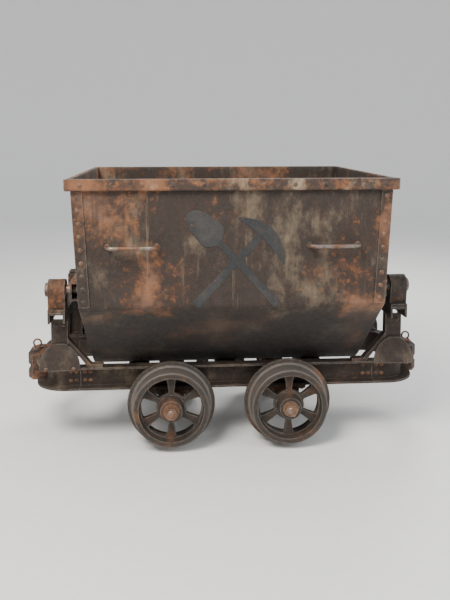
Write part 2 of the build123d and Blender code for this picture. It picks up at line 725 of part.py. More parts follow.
# ---------------------------------------------------------------- end beams, pins and rest feet
BEAM_LOW = REST_TOP
BEAM_HIGH = 730
BEAM_OUT = 663
BEAM_WALL = 8
BEAM_HALF = 330
for end_name, end in ENDS.items():
    with BuildPart() as beam:
        with BuildSketch(crosswise(BEAM_HALF)):
            with BuildLine():
                inner_low = BEAM_LOW + BEAM_WALL
                inner_high = BEAM_HIGH - BEAM_WALL
                outline = [
                    (end_plate_x(BEAM_LOW), BEAM_LOW),
                    (BEAM_OUT, BEAM_LOW),
                    (BEAM_OUT, BEAM_HIGH),
                    (end_plate_x(BEAM_HIGH), BEAM_HIGH),
                    (end_plate_x(inner_high), inner_high),
                    (BEAM_OUT - BEAM_WALL, inner_high),
                    (BEAM_OUT - BEAM_WALL, inner_low),
                    (end_plate_x(inner_low), inner_low),
                ]
                Polyline(*[(end * x, z) for x, z in outline], close=True)
            make_face()
        extrude(amount=2 * BEAM_HALF)
        with BuildSketch(lengthwise(end * (BEAM_OUT - 2 * BEAM_WALL), PIVOT_Y, PIVOT_Z)):
            Circle(PIN_RADIUS)
        extrude(amount=end * 4 * BEAM_WALL, mode=Mode.SUBTRACT)
    save(beam, f"tub_end_beam_{end_name}")

PIN_START = 612
PIN_END = STAND_X + STAND_WIDTH / 2 + 2
PIN_HEAD = 12
PIN_COLLAR = 9
for end_name, end in ENDS.items():
    with BuildPart() as pivot:
        with BuildSketch(lengthwise(end * PIN_START, PIVOT_Y, PIVOT_Z)):
            Circle(PIN_RADIUS)
        extrude(amount=end * (PIN_END - PIN_START))
        with BuildSketch(lengthwise(end * PIN_END, PIVOT_Y, PIVOT_Z)):
            Circle(PIN_RADIUS + PIN_COLLAR)
        extrude(amount=end * PIN_HEAD)
        circles = pivot.edges().filter_by(GeomType.CIRCLE)
        chamfer(circles.sort_by(Axis((0, 0, 0), (end, 0, 0)))[-1], 2)
    save(pivot, f"trunnion_pin_{end_name}")

FOOT_HALF = 30
FOOT_PLATE = 14
FOOT_END = STAND_X + 30
RIB_HALF = 6
RIB_HIGH = 692
with BuildPart() as feet:
    for end in ENDS.values():
        with Locations((end * (BEAM_OUT + FOOT_END) / 2, REST_Y, REST_TOP + FOOT_PLATE / 2)):
            Box(FOOT_END - BEAM_OUT, 2 * FOOT_HALF, FOOT_PLATE)
        with BuildSketch(crosswise(REST_Y + RIB_HALF)):
            with BuildLine():
                low = REST_TOP + FOOT_PLATE
                Polyline(
                    (end * BEAM_OUT, low),
                    (end * (FOOT_END - 8), low),
                    (end * BEAM_OUT, RIB_HIGH),
                    close=True,
                )
            make_face()
        extrude(amount=2 * RIB_HALF)
save(feet, "rest_feet")

# ---------------------------------------------------------------- grab handles
HANDLE_X = 395
HANDLE_Z = 900
HANDLE_HALF = 96
HANDLE_OUT = 44
HANDLE_RADIUS = 8
HANDLE_BEND = 22
with BuildPart() as handles:
    plate_y = side_plate_y(HANDLE_Z + HANDLE_RADIUS)
    for end in ENDS.values():
        for side in SIDES.values():
            middle = end * HANDLE_X
            with BuildLine(Plane.XY.offset(HANDLE_Z)) as handle_path:
                FilletPolyline(
                    (middle - HANDLE_HALF, side * plate_y),
                    (middle - HANDLE_HALF, side * (plate_y + HANDLE_OUT)),
                    (middle + HANDLE_HALF, side * (plate_y + HANDLE_OUT)),
                    (middle + HANDLE_HALF, side * plate_y),
                    radius=HANDLE_BEND,
                )
            with BuildSketch(crosswise(side * plate_y, middle - HANDLE_HALF, HANDLE_Z)):
                Circle(HANDLE_RADIUS)
            sweep(path=handle_path.wire())
save(handles, "grab_handles")

# ---------------------------------------------------------------- rivets and bolts
RIVET_BALL = 11
RIVET_CAP = 30               # latitude at which the ball is cut to leave a snap head
BOLT_HEAD = 9
BOLT_HEX = 11


def spread(low, high, count):
    """Evenly spaced numbers from low to high."""
    return [low + (high - low) * step / (count - 1) for step in range(count)]


def snap_heads(places):
    """Domed rivet heads standing on the surface at each place."""
    with Locations(*places):
        Sphere(RIVET_BALL, arc_size1=RIVET_CAP, align=(Align.CENTER, Align.CENTER, Align.MIN))


PANEL_TILT = (PANEL_TOP_Y - BEND_HALF_WIDTH) / (RIM_TOP - BEND_HEIGHT)
STRAP_MIDDLE = STRAP_WIDTH / 2
STRAP_RIVETS = 9
RIM_RIVETS = 11
END_RIM_RIVETS = 8
with BuildPart() as tub_rivets:
    places = []
    rim_z = RIM_TOP - RIM_DEPTH / 2
    for end in ENDS.values():
        for side in SIDES.values():
            for z in spread(STRAP_LOW + 22, STRAP_HIGH - 22, STRAP_RIVETS):
                on_strap = (
                    end * (end_plate_x(z) - STRAP_MIDDLE),
                    side * (side_plate_y(z) + STRAP_THICK),
                    z,
                )
                places.append(facing(on_strap, (0, side, -PANEL_TILT)))
            for y in spread(70, 300, 3):
                for z in (BEAM_LOW - 16, BEAM_HIGH + 16):
                    on_end = (end * end_plate_x(z), side * y, z)
                    places.append(facing(on_end, (end * cos(LEAN), 0, -sin(LEAN))))
        for y in spread(-460, 460, END_RIM_RIVETS):
            places.append(facing((end * RIM_HALF_LENGTH, y, rim_z), (end, 0, 0)))
    for side in SIDES.values():
        for x in spread(-590, 590, RIM_RIVETS):
            places.append(facing((x, side * RIM_HALF_WIDTH, rim_z), (0, side, 0)))
    snap_heads(places)
save(tub_rivets, "tub_rivets")

with BuildPart() as frame_rivets:
    places = []
    for end in ENDS.values():
        for side in SIDES.values():
            for x in (-42, -18, 18, 42):
                for z in (-20, 20):
                    on_web = (end * SILL_END + x, side * (SILL_BACK + SECTION_WEB), MID_SILL_Z + z)
                    places.append(facing(on_web, (0, side, 0)))
            for x in (-16, 16):
                on_post = (end * STAND_X + x, side * (POST_Y + POST_DEPTH / 2), POST_TOP - 24)
                places.append(facing(on_post, (0, side, 0)))
            for x in (-58, 58):
                on_plate = (end * STAND_X + x, side * (SILL_TIP + GUSSET_THICK), SILL_TOP - 4)
                places.append(facing(on_plate, (0, side, 0)))
        for y in (-130, 130):
            on_bow = (end * (BOW_BACK + SECTION_WEB), y, MID_SILL_Z)
            places.append(facing(on_bow, (end, 0, 0)))
    snap_heads(places)
save(frame_rivets, "frame_rivets")

with BuildPart() as frame_bolts:
    places = []
    for end in ENDS.values():
        for side in SIDES.values():
            for x in (-BOX_BOLT_X, BOX_BOLT_X):
                under_foot = (
                    end * WHEELBASE / 2 + x, side * BOX_BOLT_Y, SILL_BOTTOM - BOX_FOOT_THICK
                )
                places.append(facing(under_foot, (0, 0, -1)))
            for x in (-1, 1):
                on_post_foot = (
                    end * STAND_X + x * (STAND_WIDTH + FOOT_OVERHANG) / 2,
                    side * POST_Y,
                    SILL_TOP + POST_FOOT,
                )
                places.append(facing(on_post_foot, (0, 0, 1)))
    for place in places:
        with BuildSketch(Plane(place)):
            RegularPolygon(BOLT_HEX, 6)
        extrude(amount=BOLT_HEAD)
save(frame_bolts, "frame_bolts")
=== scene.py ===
import json
from math import asin, atan2, cos, hypot, pi, radians, sin

import bmesh
import bpy
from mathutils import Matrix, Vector, noise


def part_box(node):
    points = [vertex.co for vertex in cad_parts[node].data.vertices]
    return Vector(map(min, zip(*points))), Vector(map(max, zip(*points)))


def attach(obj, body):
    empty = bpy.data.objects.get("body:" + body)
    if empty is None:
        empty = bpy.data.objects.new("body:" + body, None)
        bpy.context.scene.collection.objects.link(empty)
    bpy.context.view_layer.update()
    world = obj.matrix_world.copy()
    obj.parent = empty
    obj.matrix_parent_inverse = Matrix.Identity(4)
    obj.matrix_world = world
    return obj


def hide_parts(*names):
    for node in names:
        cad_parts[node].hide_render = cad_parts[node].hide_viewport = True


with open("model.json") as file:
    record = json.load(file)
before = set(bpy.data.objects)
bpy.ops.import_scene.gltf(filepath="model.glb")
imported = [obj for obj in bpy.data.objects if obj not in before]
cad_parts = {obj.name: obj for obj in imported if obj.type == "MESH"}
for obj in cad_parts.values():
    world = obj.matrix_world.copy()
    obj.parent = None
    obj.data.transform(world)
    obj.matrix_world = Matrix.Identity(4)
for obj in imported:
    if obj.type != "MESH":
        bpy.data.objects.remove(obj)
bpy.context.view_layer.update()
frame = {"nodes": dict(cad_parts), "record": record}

# Rusted side-tipping mine cart. Metres, in the CAD model's own frame: +Z up, X along the track.

# ---------------------------------------------------------------- sizes of the tub and wheels
TROUGH_LOW, TROUGH_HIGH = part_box("tub_trough")
RIM_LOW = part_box("rim_front")[0]
BEAM_LOW, BEAM_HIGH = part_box("tub_end_beam_right")
WHEEL_LOW, WHEEL_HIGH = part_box("wheel_front_right")
WHEEL_X = (WHEEL_LOW[0] + WHEEL_HIGH[0]) / 2
WHEEL_Z = (WHEEL_LOW[2] + WHEEL_HIGH[2]) / 2
TREAD_RADIUS = 0.160

TOP_Z = TROUGH_HIGH[2]
BOTTOM_Z = TROUGH_LOW[2]
TOP_Y = TROUGH_HIGH[1]
TOP_X = TROUGH_HIGH[0]
RIM_DEPTH = TOP_Z - RIM_LOW[2]
SHEET = 0.005                # plate thickness
BOTTOM_RADIUS = 0.25         # outer radius of the rounded bottom
BOTTOM_CENTRE_Z = BOTTOM_Z + BOTTOM_RADIUS
BEND_Z = 0.655               # where the upright side turns into the slope
BEND_Y = 0.488
END_LEAN = 0.040             # how far each end leans out from bottom to top

# The slope between the bend and the rounded bottom: its angle, and where it meets the round.
SLOPE = atan2(BEND_Z - BOTTOM_CENTRE_Z, BEND_Y)
SLOPE += asin(BOTTOM_RADIUS / hypot(BEND_Y, BEND_Z - BOTTOM_CENTRE_Z))
TANGENT_Y = BOTTOM_RADIUS * sin(SLOPE)
TANGENT_Z = BOTTOM_CENTRE_Z - BOTTOM_RADIUS * cos(SLOPE)


def end_x(z):
    """Outer face of the leaning end plate at height z."""
    return TOP_X - END_LEAN * (TOP_Z - z) / (TOP_Z - BOTTOM_Z)


def side_y(z):
    """Outer face of the upright side plate at height z."""
    return BEND_Y + (TOP_Y - BEND_Y) * (z - BEND_Z) / (TOP_Z - BEND_Z)


# ---------------------------------------------------------------- node helpers
class Nodes:
    """Builds one material's node tree. Each method adds a node and returns its output."""

    def __init__(self, name):
        self.material = bpy.data.materials.new(name)
        self.material.use_nodes = True
        self.tree = self.material.node_tree
        self.tree.nodes.clear()
        self.out = self.tree.nodes.new("ShaderNodeOutputMaterial")
        self.shader = self.tree.nodes.new("ShaderNodeBsdfPrincipled")
        self.tree.links.new(self.shader.outputs[0], self.out.inputs[0])
        self.coordinates = self.tree.nodes.new("ShaderNodeTexCoord").outputs["Object"]

    def link(self, value, socket):
        """Feeds a socket from another node's output or sets it to a fixed value."""
        if isinstance(value, bpy.types.NodeSocket):
            self.tree.links.new(value, socket)
        else:
            socket.default_value = value

    def stretch(self, scale, offset=(0.0, 0.0, 0.0)):
        """The object's own coordinates, scaled along each axis."""
        node = self.tree.nodes.new("ShaderNodeMapping")
        self.link(self.coordinates, node.inputs["Vector"])
        node.inputs["Scale"].default_value = scale
        node.inputs["Location"].default_value = offset
        return node.outputs[0]

    def clouds(self, scale, detail=6.0, rough=0.55, vector=None, distortion=0.0):
        """Cloudy noise from 0 to 1."""
        node = self.tree.nodes.new("ShaderNodeTexNoise")
        self.link(vector or self.coordinates, node.inputs["Vector"])
        node.inputs["Scale"].default_value = scale
        node.inputs["Detail"].default_value = detail
        node.inputs["Roughness"].default_value = rough
        node.inputs["Distortion"].default_value = distortion
        return node.outputs["Fac"]

    def cells(self, scale):
        """Distance to the nearest of scattered points."""
        node = self.tree.nodes.new("ShaderNodeTexVoronoi")
        node.feature = "F1"
        self.link(self.coordinates, node.inputs["Vector"])
        node.inputs["Scale"].default_value = scale
        return node.outputs["Distance"]

    def level(self, value, low, high, to_low=0.0, to_high=1.0):
        """Smooth step of value from low to high."""
        node = self.tree.nodes.new("ShaderNodeMapRange")
        node.interpolation_type = "SMOOTHSTEP"
        self.link(value, node.inputs["Value"])
        node.inputs["From Min"].default_value = low
        node.inputs["From Max"].default_value = high
        node.inputs["To Min"].default_value = to_low
        node.inputs["To Max"].default_value = to_high
        return node.outputs[0]

    def math(self, kind, a, b=0.0):
        """One arithmetic step on numbers or sockets."""
        node = self.tree.nodes.new("ShaderNodeMath")
        node.operation = kind
        self.link(a, node.inputs[0])
        self.link(b, node.inputs[1])
        return node.outputs[0]

    def mix(self, share, a, b):
        """Colour mix of a and b; a and b are colours or colour sockets."""
        node = self.tree.nodes.new("ShaderNodeMix")
        node.data_type = "RGBA"
        self.link(share, node.inputs["Factor"])
        for value, socket in ((a, node.inputs[6]), (b, node.inputs[7])):
            if isinstance(value, tuple):
                value = (*value, 1.0)
            self.link(value, socket)
        return node.outputs[2]

    def axes(self):
        """The object's own X, Y and Z as three sockets."""
        node = self.tree.nodes.new("ShaderNodeSeparateXYZ")
        self.link(self.coordinates, node.inputs[0])
        return node.outputs

    def edges(self, radius=0.006):
        """1 along sharp edges, 0 on flat faces, from the angle between the true and bevelled normal."""
        bevel = self.tree.nodes.new("ShaderNodeBevel")
        bevel.samples = 4
        bevel.inputs["Radius"].default_value = radius
        true_normal = self.tree.nodes.new("ShaderNodeNewGeometry")
        dot = self.tree.nodes.new("ShaderNodeVectorMath")
        dot.operation = "DOT_PRODUCT"
        self.link(bevel.outputs[0], dot.inputs[0])
        self.link(true_normal.outputs["Normal"], dot.inputs[1])
        return self.level(dot.outputs["Value"], 0.995, 0.86)

    def bump(self, height, distance, normal=None):
        """Relief of a given depth, on top of an earlier one."""
        node = self.tree.nodes.new("ShaderNodeBump")
        node.inputs["Distance"].default_value = distance
        self.link(height, node.inputs["Height"])
        if normal:
            self.link(normal, node.inputs["Normal"])
        return node.outputs[0]

    def finish(self, colour, roughness, metallic, normal):
        """Plugs the results into the shader and gives the material."""
        self.link(colour, self.shader.inputs["Base Color"])
        self.link(roughness, self.shader.inputs["Roughness"])
        self.link(metallic, self.shader.inputs["Metallic"])
        self.link(normal, self.shader.inputs["Normal"])
        return self.material


# ---------------------------------------------------------------- materials
PAINT_DARK = (0.020, 0.017, 0.015)
RUST_DARK = (0.050, 0.024, 0.013)
RUST_MID = (0.150, 0.063, 0.028)
RUST_BRIGHT = (0.330, 0.130, 0.048)
RUST_PINK = (0.300, 0.165, 0.115)
DUST_TAN = (0.260, 0.195, 0.125)
BARE_STEEL = (0.230, 0.205, 0.185)
GREASE = (0.012, 0.011, 0.010)
# Painted shade: a near-black laid over the tub's lower slope and bottom, which face down into shadow.
PAINTED_SHADE = (0.016, 0.014, 0.013)
PAINTED_SHADE_RAGGED = 0.16          # how far the painted shade's upper edge wanders
PAINTED_SHADE_FADE = 0.09
PAINTED_SHADE_SHARE = 0.72


def rusted(name, dark=0.5, orange=0.45, dust=0.35, wear=0.8, streaks=0.0, grain=1.0, shade=1.0,
           painted_shade_below=None):
    """Weathered iron: old dark coat, rust patches, dust and bare worn edges, optionally with painted
    shade below a given height; a shade factor above 1 paints every tone lighter as painted light.
    """
    n = Nodes(name)
    patches = n.clouds(3.4, 7.0, 0.62, distortion=0.4)
    blotches = n.clouds(11.0, 8.0, 0.66, vector=n.stretch((1, 1, 1), (3.7, 1.9, 5.2)))
    mottle = n.clouds(46.0, 6.0, 0.7)
    speck = n.clouds(190.0, 3.0, 0.6)
    pits = n.cells(120.0)
    # shade scales every tone; the rim's 1.3 is painted light that makes the rim look lit.
    tone = [tuple(channel * shade for channel in c) for c in
            (PAINT_DARK, RUST_DARK, RUST_MID, RUST_BRIGHT, RUST_PINK, DUST_TAN)]
    paint, deep, mid, bright, pink, tan = tone
    rust = n.mix(n.level(blotches, 0.36, 0.62), deep, mid)
    rust = n.mix(n.math("MULTIPLY", n.level(mottle, 0.5, 0.72), orange), rust, bright)
    rust = n.mix(n.math("MULTIPLY", n.level(patches, 0.54, 0.74), 0.75 * orange), rust, pink)
    coat = n.mix(n.level(speck, 0.35, 0.75), paint, deep)
    cover = n.level(n.math("ADD", patches, n.math("MULTIPLY", mottle, 0.35)), dark + 0.10, dark + 0.24)
    colour = n.mix(cover, coat, rust)
    dusty = n.level(n.clouds(7.0, 9.0, 0.7, vector=n.stretch((1, 1, 0.6), (9.1, 4.4, 0.3))), 0.5, 0.72)
    colour = n.mix(n.math("MULTIPLY", dusty, dust), colour, tan)
    if streaks:
        runs = n.clouds(1.0, 6.0, 0.6, vector=n.stretch((34, 34, 1.6)))
        colour = n.mix(n.math("MULTIPLY", n.level(runs, 0.53, 0.72), streaks), colour, deep)
        pale = n.clouds(1.0, 5.0, 0.6, vector=n.stretch((52, 52, 2.2), (4.0, 2.0, 7.0)))
        colour = n.mix(n.math("MULTIPLY", n.level(pale, 0.60, 0.76), streaks * 0.6), colour, tan)
    # Painted shade: darkens the colour below a ragged height, standing in for the shadow under the
    # bend.
    if painted_shade_below:
        wander = n.math("MULTIPLY", n.math("SUBTRACT", blotches, 0.5), PAINTED_SHADE_RAGGED)
        in_shade = n.level(n.math("ADD", n.axes()["Z"], wander), painted_shade_below, painted_shade_below - PAINTED_SHADE_FADE)
        colour = n.mix(n.math("MULTIPLY", in_shade, PAINTED_SHADE_SHARE), colour, PAINTED_SHADE)
    worn = n.math("MULTIPLY", n.edges(), n.level(mottle, 0.34, 0.6))
    worn = n.math("MULTIPLY", worn, wear)
    colour = n.mix(worn, colour, BARE_STEEL)
    roughness = n.level(mottle, 0.2, 0.8, 0.62, 0.92)
    roughness = n.math("SUBTRACT", roughness, n.math("MULTIPLY", worn, 0.35))
    metallic = n.math("ADD", n.math("MULTIPLY", worn, 0.7), 0.12)
    relief = n.bump(mottle, 0.0022 * grain)
    relief = n.bump(n.level(pits, 0.0, 0.35), 0.0006 * grain, relief)
    relief = n.bump(blotches, 0.004 * grain, relief)
    return n.finish(colour, roughness, metallic, relief)


def worn_bar(name):
    """Round bar polished by hands and grease, rusty in the hollows."""
    n = Nodes(name)
    mottle = n.clouds(60.0, 6.0, 0.65)
    patches = n.clouds(14.0, 6.0, 0.6)
    colour = n.mix(n.level(patches, 0.4, 0.62), BARE_STEEL, RUST_MID)
    colour = n.mix(n.level(mottle, 0.5, 0.75), colour, RUST_DARK)
    roughness = n.level(mottle, 0.3, 0.7, 0.36, 0.72)
    metallic = n.level(patches, 0.62, 0.4, 0.25, 0.9)
    return n.finish(colour, roughness, metallic, n.bump(mottle, 0.0008))


def bronze(name):
    """Oily bearing bronze."""
    n = Nodes(name)
    stains = n.clouds(40.0, 6.0, 0.6)
    colour = n.mix(n.level(stains, 0.42, 0.68), (0.36, 0.20, 0.075), GREASE)
    return n.finish(colour, n.level(stains, 0.3, 0.7, 0.3, 0.55), 0.85, n.bump(stains, 0.0004))


def wheel_iron(name):
    """Cast wheel: sandy casting skin, rust in the web, tread polished by the rail."""
    n = Nodes(name)
    patches = n.clouds(9.0, 7.0, 0.62)
    mottle = n.clouds(52.0, 6.0, 0.7)
    speck = n.clouds(230.0, 3.0, 0.6)
    colour = n.mix(n.level(patches, 0.46, 0.7), PAINT_DARK, RUST_DARK)
    colour = n.mix(n.math("MULTIPLY", n.level(mottle, 0.5, 0.72), 0.55), colour, RUST_MID)
    colour = n.mix(n.math("MULTIPLY", n.level(patches, 0.56, 0.72), 0.6), colour, RUST_MID)
    colour = n.mix(n.math("MULTIPLY", n.level(speck, 0.5, 0.72), 0.4), colour, DUST_TAN)
    x, _, z = n.axes()
    along = n.math("SUBTRACT", n.math("ABSOLUTE", x), WHEEL_X)
    up = n.math("SUBTRACT", z, WHEEL_Z)
    squares = n.math("ADD", n.math("MULTIPLY", along, along), n.math("MULTIPLY", up, up))
    radius = n.math("SQRT", squares)
    tread = n.math("MULTIPLY", n.level(radius, TREAD_RADIUS - 0.004, TREAD_RADIUS - 0.001),
                   n.level(radius, TREAD_RADIUS + 0.016, TREAD_RADIUS + 0.008))
    edges = n.math("MULTIPLY", n.edges(0.008), n.level(mottle, 0.3, 0.55))
    worn = n.math("MAXIMUM", n.math("MULTIPLY", edges, 0.7), n.math("MULTIPLY", tread, 0.5))
    colour = n.mix(worn, colour, BARE_STEEL)
    roughness = n.math("SUBTRACT", n.level(mottle, 0.2, 0.8, 0.6, 0.9), n.math("MULTIPLY", worn, 0.3))
    relief = n.bump(speck, 0.0012, n.bump(mottle, 0.002))
    return n.finish(colour, roughness, n.math("ADD", n.math("MULTIPLY", worn, 0.7), 0.15), relief)


MATERIALS = {
    # The tub plate carries painted shade below the bend.
    "tub_plate": rusted("rusted_tub_plate", dark=0.56, orange=0.55, dust=0.5, wear=0.6, streaks=0.55,
                        painted_shade_below=BEND_Z + 0.015),
    # The rim is painted lighter: the full dust is partly real dust, and the raised tones are a painted
    # highlight on the lit strip.
    "rim_bar": rusted("rusted_rim_painted_light", dark=0.46, orange=0.42, dust=1.0, wear=1.0, shade=1.3),
    "frame_steel": rusted("rusted_frame", dark=0.62, orange=0.35, dust=0.4, wear=0.9),
    "tub_fitting": rusted("rusted_fitting", dark=0.56, orange=0.5, dust=0.4, wear=0.9),
    "cast_wheel": wheel_iron("cast_wheel_iron"),
    "casting": rusted("rusted_casting", dark=0.5, orange=0.6, dust=0.3, wear=0.9, grain=1.6),
    "bearing_bronze": bronze("oily_bronze"),
    "worn_bar": worn_bar("worn_bar_steel"),
    "fastener": rusted("rusted_fastener", dark=0.46, orange=0.6, dust=0.3, wear=1.0),
    "latch_steel": rusted("rusted_latch", dark=0.48, orange=0.5, dust=0.3, wear=1.0),
}
SLOTS = {part["node"]: part["material_slot"] for part in frame["record"]["subparts"]}


# ---------------------------------------------------------------- mesh helpers
CUT_EDGE = 0.0008
CUT_ANGLE = radians(60)


def mesh_object(name, bm, material):
    """Turns a bmesh into a smooth object of one material."""
    mesh = bpy.data.meshes.new(name)
    bm.to_mesh(mesh)
    bm.free()
    for polygon in mesh.polygons:
        polygon.use_smooth = True
    made = bpy.data.objects.new(name, mesh)
    bpy.context.scene.collection.objects.link(made)
    made.data.materials.append(material)
    return made


def new_piece(name, bm, material, body):
    """A mesh object of one given material that rides on a body."""
    piece = mesh_object(name, bm, material)
    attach(piece, body)
    return piece


def grid_faces(bm, rows):
    """Joins rows of equally many points with quads."""
    made = [[bm.verts.new(point) for point in row] for row in rows]
    for first, second in zip(made, made[1:]):
        for i in range(len(first) - 1):
            bm.faces.new((first[i], first[i + 1], second[i + 1], second[i]))


def thicken(piece, thickness):
    """Gives a surface its plate thickness, then a small round on its cut edges."""
    solid = piece.modifiers.new("thickness", "SOLIDIFY")
    solid.thickness = thickness
    solid.offset = -1.0
    solid.use_even_offset = True
    edge = piece.modifiers.new("edge", "BEVEL")
    edge.width = CUT_EDGE
    edge.segments = 1
    edge.limit_method = "ANGLE"
    edge.angle_limit = CUT_ANGLE


def fade(value, low, high):
    """Smooth 0 to 1 between low and high."""
    share = min(1.0, max(0.0, (value - low) / (high - low)))
    return share * share * (3 - 2 * share)


# ---------------------------------------------------------------- tub plates
# Dents: place along the cart, height, radius and depth inwards, on the front and the rear side.
SIDE_DENTS = {
    -1: [(-0.47, 0.78, 0.13, 0.011), (0.12, 1.02, 0.16, 0.006), (0.44, 0.74, 0.10, 0.010),
         (-0.16, 0.70, 0.09, 0.006), (0.30, 0.98, 0.07, 0.005), (-0.36, 1.03, 0.10, 0.006)],
    1: [(0.38, 0.80, 0.14, 0.011), (-0.22, 0.98, 0.12, 0.008), (-0.48, 0.74, 0.10, 0.009),
        (0.05, 0.72, 0.08, 0.006)],
}
STRAP_ZONE = 0.055           # the corner straps keep the plate flat this far in from the ends
STRAP_FADE = 0.09
SIDE_WAVE = 0.0045           # depth of the slow waves in the side plates, and of the small ones
SIDE_RIPPLE = 0.0016
SLOPE_SHARE = 0.35           # the slopes keep this share of the unevenness
END_WAVE = 0.006
END_RIPPLE = 0.002
END_GAP = 0.0005             # between the end plates and the rounded bottom
BEAM_ZONE_BELOW = 0.035      # the riveted beam keeps the end plate flat
BEAM_ZONE_ABOVE = 0.032
SECTION_POINTS = 150
TROUGH_COLUMNS = 110
END_ROWS = 90
END_COLUMNS = 80


def section_points():
    """Points down one side of the tub's outer section, round the bottom and up the other."""
    lengths = (TOP_Z - BEND_Z, hypot(BEND_Y - TANGENT_Y, BEND_Z - TANGENT_Z), BOTTOM_RADIUS * SLOPE)
    upright, sloping, rounded = (
        max(3, round(SECTION_POINTS * length / (2 * sum(lengths)))) for length in lengths
    )
    points = []
    for i in range(upright):
        z = TOP_Z + (BEND_Z - TOP_Z) * i / upright
        points.append((side_y(z), z))
    for i in range(sloping):
        share = i / sloping
        points.append((BEND_Y + (TANGENT_Y - BEND_Y) * share, BEND_Z + (TANGENT_Z - BEND_Z) * share))
    for i in range(rounded):
        angle = SLOPE * (1 - i / rounded)
        points.append((BOTTOM_RADIUS * sin(angle), BOTTOM_CENTRE_Z - BOTTOM_RADIUS * cos(angle)))
    return points + [(0.0, BOTTOM_Z)] + [(-y, z) for y, z in reversed(points)]


def dent_depth(x, y, z):
    """How far the tub's plate is pushed inwards at a point; negative bulges outwards."""
    free = fade(end_x(z) - abs(x), STRAP_ZONE, STRAP_ZONE + STRAP_FADE)
    free *= fade(TOP_Z - RIM_DEPTH - z, 0.0, 0.06)
    wave = noise.noise(Vector((x * 2.4, y * 2.4 + 7, z * 3.0)))
    ripple = noise.noise(Vector((x * 9.0, y * 9.0 + 3, z * 8.0)))
    depth = SIDE_WAVE * wave + SIDE_RIPPLE * ripple
    side = -1 if y < 0 else 1
    for dent_x, dent_z, radius, amount in SIDE_DENTS[side]:
        distance = hypot(x - dent_x, z - dent_z) / radius
        if distance < 1:
            depth += amount * (1 - distance * distance) ** 2
    lower = fade(z, BEND_Z - 0.05, BEND_Z + 0.02)
    return depth * free * (SLOPE_SHARE + (1 - SLOPE_SHARE) * lower)


def trough_point(x_share, y, z):
    """Point on the dented outer face; x_share runs from -1 to 1 between the end plates."""
    x = x_share * end_x(z)
    push = dent_depth(x, y, z)
    if z >= BEND_Z:
        return Vector((x, y - push * (1 if y > 0 else -1), z))
    centre = Vector((0.0, BOTTOM_CENTRE_Z + 0.1))
    inward = (centre - Vector((y, z))).normalized()
    return Vector((x, y + inward.x * push, z + inward.y * push))


def tub_trough():
    """The bent plate that makes both sides and the bottom, with its dents."""
    bm = bmesh.new()
    shares = [2 * i / TROUGH_COLUMNS - 1 for i in range(TROUGH_COLUMNS + 1)]
    rows = [[trough_point(share, y, z) for share in shares] for y, z in section_points()]
    grid_faces(bm, rows)
    bmesh.ops.recalc_face_normals(bm, faces=bm.faces[:])
    lowest = min(bm.faces, key=lambda face: face.calc_center_median().z)
    if lowest.normal.z > 0:
        bmesh.ops.reverse_faces(bm, faces=bm.faces[:])
    piece = new_piece("dented_trough", bm, MATERIALS["tub_plate"], "tub")
    thicken(piece, SHEET)
    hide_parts("tub_trough")


def inner_half_width(z):
    """Half width of the tub's inside at height z."""
    if z > BEND_Z:
        return side_y(z) - SHEET
    if z > TANGENT_Z:
        share = (BEND_Z - z) / (BEND_Z - TANGENT_Z)
        return BEND_Y - SHEET * 1.3 + (TANGENT_Y - BEND_Y) * share
    return max(0.0, (BOTTOM_RADIUS - SHEET) ** 2 - (BOTTOM_CENTRE_Z - z) ** 2) ** 0.5


def end_buckle(y, z, half_width, end):
    """How far an end plate bulges inwards between the side seams, the rim and the riveted beam."""
    free = fade(half_width - abs(y), 0.02, 0.12) * fade(TOP_Z - 0.05 - z, 0.0, 0.07)
    below_beam = fade(BEAM_LOW[2] - z, BEAM_ZONE_BELOW, BEAM_ZONE_BELOW + 0.05)
    above_beam = fade(z - BEAM_HIGH[2], BEAM_ZONE_ABOVE, BEAM_ZONE_ABOVE + 0.068)
    free *= fade(z, 0.32, 0.42) * max(below_beam, above_beam)
    wave = noise.noise(Vector((y * 3.1, z * 3.0, 11.0 * end)))
    ripple = noise.noise(Vector((y * 9.0, z * 9.0, 5.0 * end)))
    return (END_WAVE * wave + END_RIPPLE * ripple) * free


def end_plates():
    """The two leaning end plates, gently buckled where nothing is riveted to them."""
    for end_name, end in (("left", -1), ("right", 1)):
        bm = bmesh.new()
        low_z = BOTTOM_Z + SHEET + END_GAP
        rows = []
        for i in range(END_ROWS + 1):
            z = low_z + (TOP_Z - low_z) * (i / END_ROWS) ** 1.25
            half = inner_half_width(z)
            row = []
            for j in range(END_COLUMNS + 1):
                y = half * (2 * j / END_COLUMNS - 1)
                row.append(Vector((end * (end_x(z) - end_buckle(y, z, half, end)), y, z)))
            rows.append(row)
        grid_faces(bm, rows)
        bmesh.ops.recalc_face_normals(bm, faces=bm.faces[:])
        if bm.faces[:][0].normal.x * end < 0:
            bmesh.ops.reverse_faces(bm, faces=bm.faces[:])
        piece = new_piece(f"buckled_end_{end_name}", bm, MATERIALS["tub_plate"], "tub")
        thicken(piece, SHEET)
        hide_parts(f"tub_end_{end_name}")


# ---------------------------------------------------------------- painted mark
MARK_X = 0.012               # the mark's centre on the front plate
MARK_Z = 0.835
MARK_SCALE = 1.12
PAINT_LIFT = 0.0007          # from the plate to the lowest coat
PAINT_THICK = 0.0005


def on_front(x, z, lift):
    """Point on the dented front plate, lifted off it."""
    y = -side_y(z)
    return Vector((x, y + dent_depth(x, y, z) - lift, z))


def painted_strip(bm, start, end, half_width, lift, bend=0.0, steps=40, across=8):
    """Paints a strip from start to end whose half width follows a function of 0 to 1."""
    start, end = Vector(start), Vector(end)
    run = end - start
    normal = Vector((-run.y, run.x)).normalized()
    rows = []
    for i in range(steps + 1):
        share = i / steps
        middle = start + run * share + normal * bend * 4 * share * (1 - share)
        row = []
        for j in range(across + 1):
            spot = middle + normal * half_width(share) * (2 * j / across - 1)
            row.append(on_front(MARK_X + MARK_SCALE * spot.x, MARK_Z + MARK_SCALE * spot.y, lift))
        rows.append(row)
    grid_faces(bm, rows)


